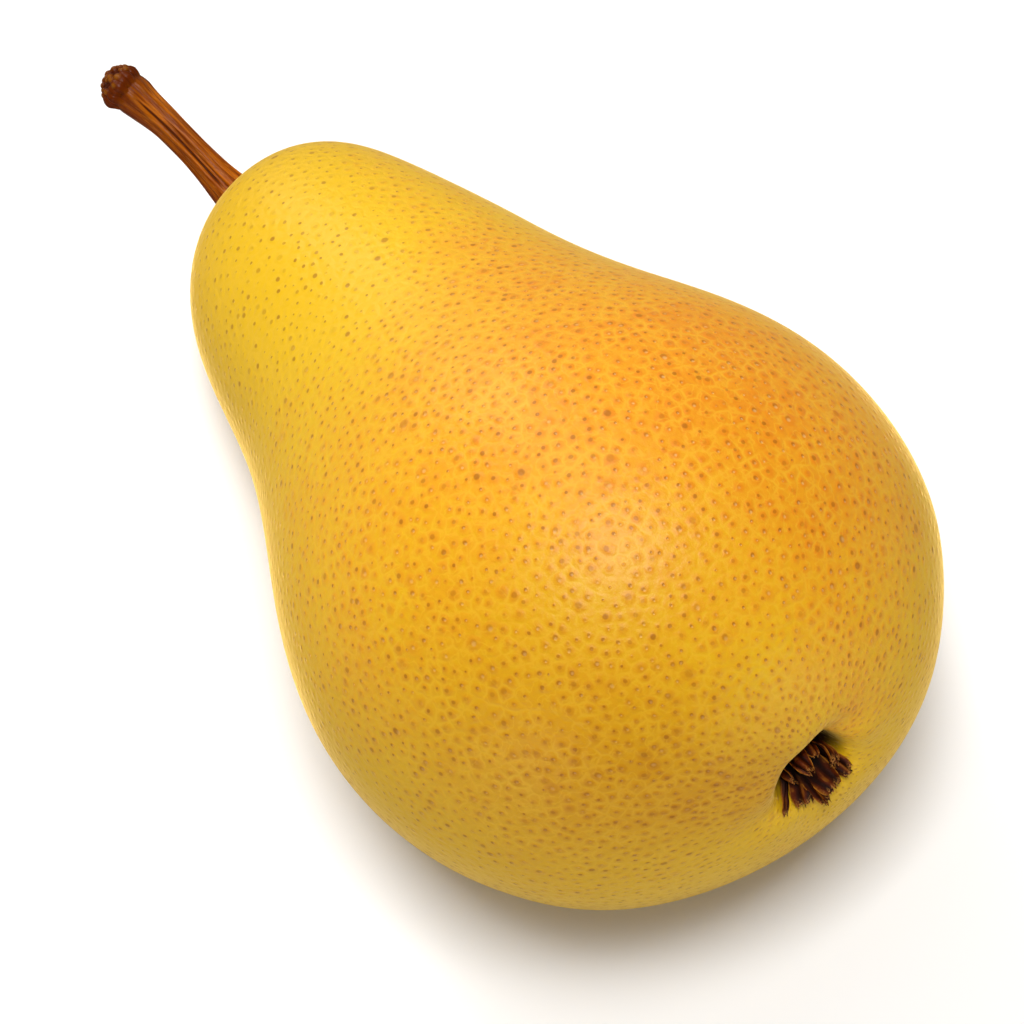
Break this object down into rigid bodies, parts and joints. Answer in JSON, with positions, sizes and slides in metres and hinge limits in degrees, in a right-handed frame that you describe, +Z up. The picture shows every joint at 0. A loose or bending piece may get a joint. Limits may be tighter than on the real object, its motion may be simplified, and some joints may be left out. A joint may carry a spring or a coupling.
{
  "type": "pear",
  "caption": "Ripe pear lying on its side, round belly tapering to a narrow neck, with a woody ribbed stem and a dried calyx in the blossom end.",
  "frame": {"origin": "on the surface the pear lies on, under the middle of its bounding box", "axes": "+Z up from the surface, +X along the pear's length towards the blossom end, +Y across it"},
  "size_m": [0.1284, 0.074, 0.074],
  "materials": {
    "pear_skin": "satin waxy skin, yellow with an orange blush and small brown lenticels",
    "stem_bark": "smooth bark with a soft gloss",
    "calyx_dried": "dry and dull"
  },
  "bodies": {
    "root": {"pear_body": "pear_skin", "stem": "stem_bark", "calyx": "calyx_dried"}
  },
  "joints": []
}
